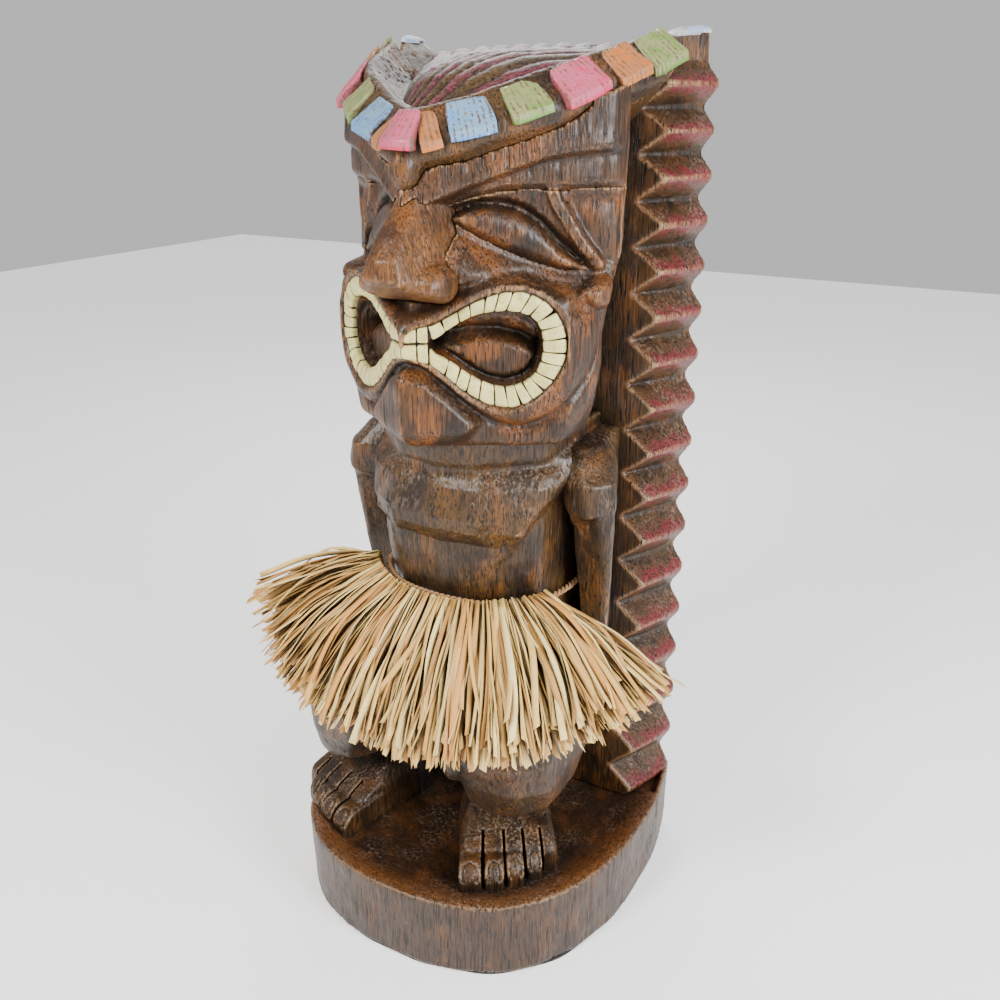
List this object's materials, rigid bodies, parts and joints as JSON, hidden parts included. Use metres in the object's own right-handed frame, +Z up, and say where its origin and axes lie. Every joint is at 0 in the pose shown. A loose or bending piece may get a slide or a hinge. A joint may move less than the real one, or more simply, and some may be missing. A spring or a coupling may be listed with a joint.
{
  "type": "tiki figure",
  "caption": "Freestanding carved tiki figure with a notched back board, ringed teeth, painted headdress rim and raffia skirt on a rounded plinth.",
  "frame": {"origin": "middle of the footprint, at the underside of the felt pad under the plinth", "axes": "+Z up, the figure looks along -Y, +X is the figure's own left"},
  "size_m": [0.3334, 0.2365, 0.6191],
  "materials": {
    "dark_wood": "dark stained and varnished wood",
    "back_board": "stained wood with worn red paint on the edge crests",
    "base_pad": "dense felt",
    "base_screws": "plain steel",
    "crown": "stained wood with painted stripes",
    "raffia": "dry raffia straw",
    "rim_blocks_blue": "worn sky-blue paint",
    "rim_blocks_green": "worn sage-green paint",
    "rim_blocks_orange": "worn ochre-orange paint",
    "rim_blocks_pink": "worn magenta-pink paint",
    "teeth_left": "cream paint",
    "teeth_right": "cream paint",
    "waist_cord": "twisted jute",
    "wooden_pegs": "plain beech"
  },
  "bodies": {
    "root": {"arm_left": "dark_wood", "arm_right": "dark_wood", "back_board": "back_board", "base_pad": "base_pad", "base_plinth": "dark_wood", "base_screws": "base_screws", "brow": "dark_wood", "crown": "crown", "eye_left": "dark_wood", "eye_right": "dark_wood", "foot_left": "dark_wood", "foot_right": "dark_wood", "head": "dark_wood", "headdress": "dark_wood", "leg_left": "dark_wood", "leg_right": "dark_wood", "nose": "dark_wood", "raffia_hank_1": "raffia", "raffia_hank_2": "raffia", "raffia_hank_3": "raffia", "raffia_hank_4": "raffia", "raffia_hank_5": "raffia", "raffia_hank_6": "raffia", "raffia_hank_7": "raffia", "raffia_hank_8": "raffia", "raffia_hank_9": "raffia", "rim_blocks_blue": "rim_blocks_blue", "rim_blocks_green": "rim_blocks_green", "rim_blocks_orange": "rim_blocks_orange", "rim_blocks_pink": "rim_blocks_pink", "teeth_left": "teeth_left", "teeth_right": "teeth_right", "torso": "dark_wood", "waist_cord": "waist_cord", "wooden_pegs": "wooden_pegs"}
  },
  "joints": []
}
